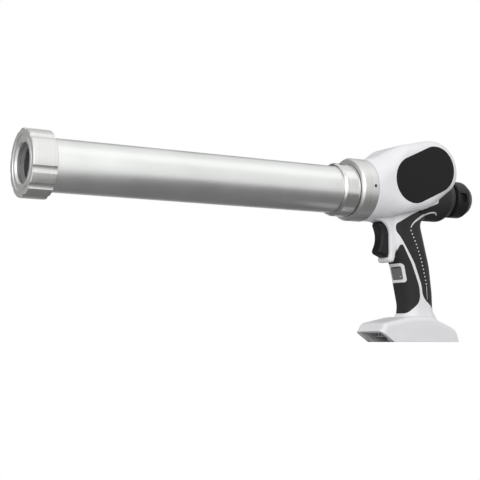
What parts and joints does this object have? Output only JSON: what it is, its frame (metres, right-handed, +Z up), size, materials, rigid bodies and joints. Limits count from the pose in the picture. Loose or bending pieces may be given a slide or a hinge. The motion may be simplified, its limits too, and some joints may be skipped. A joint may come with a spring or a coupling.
{
  "type": "cordless caulking tool",
  "caption": "Cordless caulking tool: pistol-grip housing with a motor-driven rack push rod, a swivelling aluminium barrel and a fluted screw cap with a round mouth.",
  "frame": {"origin": "centre of the bounding box's bottom, in the plane of the foot's sole", "axes": "+X to the muzzle along the barrel, +Y to the tool's left, +Z up"},
  "size_m": [0.5802, 0.074, 0.2432],
  "materials": {
    "white_housing": "satin moulded",
    "black_panel": "satin",
    "elastomer": "matte textured",
    "black_plastic": "satin",
    "grey_plastic": "satin",
    "barrel_aluminium": "satin anodised",
    "turned_aluminium": "turned",
    "polished_aluminium": "polished",
    "steel": "ground",
    "dark_steel": "blackened",
    "bronze": "sintered",
    "seal_rubber": "smooth",
    "board_green": "coated",
    "pale_plastic": "satin",
    "liner_grey": "moulded"
  },
  "bodies": {
    "tool_body": {"housing_left": "white_housing", "housing_right": "white_housing", "side_panel_left": "black_panel", "side_panel_right": "black_panel", "rear_grip_left": "elastomer", "rear_grip_right": "elastomer", "front_grip_left": "elastomer", "front_grip_right": "elastomer", "nose_ring": "turned_aluminium", "nose_screw": "dark_steel", "front_bush": "bronze", "rear_bush": "bronze", "motor": "steel", "gearbox": "dark_steel", "drive_plate": "steel", "shaft_bearings": "steel", "switch_module": "black_plastic", "control_board": "board_green", "terminal_block": "pale_plastic", "terminal_blades": "steel", "slot_liner": "liner_grey", "housing_screws": "dark_steel", "trigger_spring": "steel", "release_spring": "steel"},
    "rod": {"push_rod": "steel", "piston": "black_plastic", "piston_seal": "seal_rubber", "piston_screw": "steel", "pull_knob": "black_plastic", "knob_screw": "steel"},
    "pinion": {"rack_pinion": "steel", "pinion_shaft": "steel", "clutch_collar": "dark_steel"},
    "gear": {"output_gear": "steel"},
    "drive": {"drive_pinion": "steel"},
    "barrel": {"barrel_tube": "barrel_aluminium", "barrel_collar": "polished_aluminium"},
    "seat": {"nozzle_seat": "grey_plastic"},
    "cap": {"front_cap": "turned_aluminium"},
    "trigger_body": {"trigger": "black_plastic"},
    "button_body": {"release_button": "grey_plastic"}
  },
  "joints": [
    {"name": "rod_slide", "type": "slide", "parent": "tool_body", "child": "rod", "axis": [-1, 0, 0], "range_m": [0, 0.33]},
    {"name": "pinion_spin", "type": "hinge", "parent": "tool_body", "child": "pinion", "pos_m": [-0.1805, 0, 0.19158], "axis": [0, 1, 0], "continuous": true},
    {"name": "gear_spin", "type": "hinge", "parent": "tool_body", "child": "gear", "pos_m": [-0.1805, 0.019, 0.19158], "axis": [0, 1, 0], "continuous": true},
    {"name": "drive_spin", "type": "hinge", "parent": "tool_body", "child": "drive", "pos_m": [-0.21358, 0.019, 0.20659], "axis": [0, 1, 0], "continuous": true},
    {"name": "barrel_swivel", "type": "hinge", "parent": "tool_body", "child": "barrel", "pos_m": [-0.1055, 0, 0.1775], "axis": [1, 0, 0], "continuous": true},
    {"name": "cap_travel", "type": "slide", "parent": "barrel", "child": "seat", "axis": [1, 0, 0], "range_m": [0, 0.0141]},
    {"name": "cap_turn", "type": "hinge", "parent": "seat", "child": "cap", "pos_m": [0.2745, 0, 0.1775], "axis": [1, 0, 0], "range_deg": [0, 1260]},
    {"name": "trigger_pull", "type": "slide", "parent": "tool_body", "child": "trigger_body", "axis": [-1, 0, 0], "range_m": [0, 0.007], "stiffness_N_per_m": 500, "springref_m": -0.012, "deforming": ["trigger_spring"]},
    {"name": "release_press", "type": "slide", "parent": "tool_body", "child": "button_body", "axis": [-1, 0, 0], "range_m": [0, 0.003], "stiffness_N_per_m": 500, "springref_m": -0.01, "deforming": ["release_spring"]}
  ],
  "couplings": [
    {"joint": "pinion_spin", "follows": "rod_slide", "rad_per_m": 111.11},
    {"joint": "drive_spin", "follows": "gear_spin", "ratio": -3.1429},
    {"joint": "cap_travel", "follows": "cap_turn", "m_per_rad": 0.00063662}
  ]
}
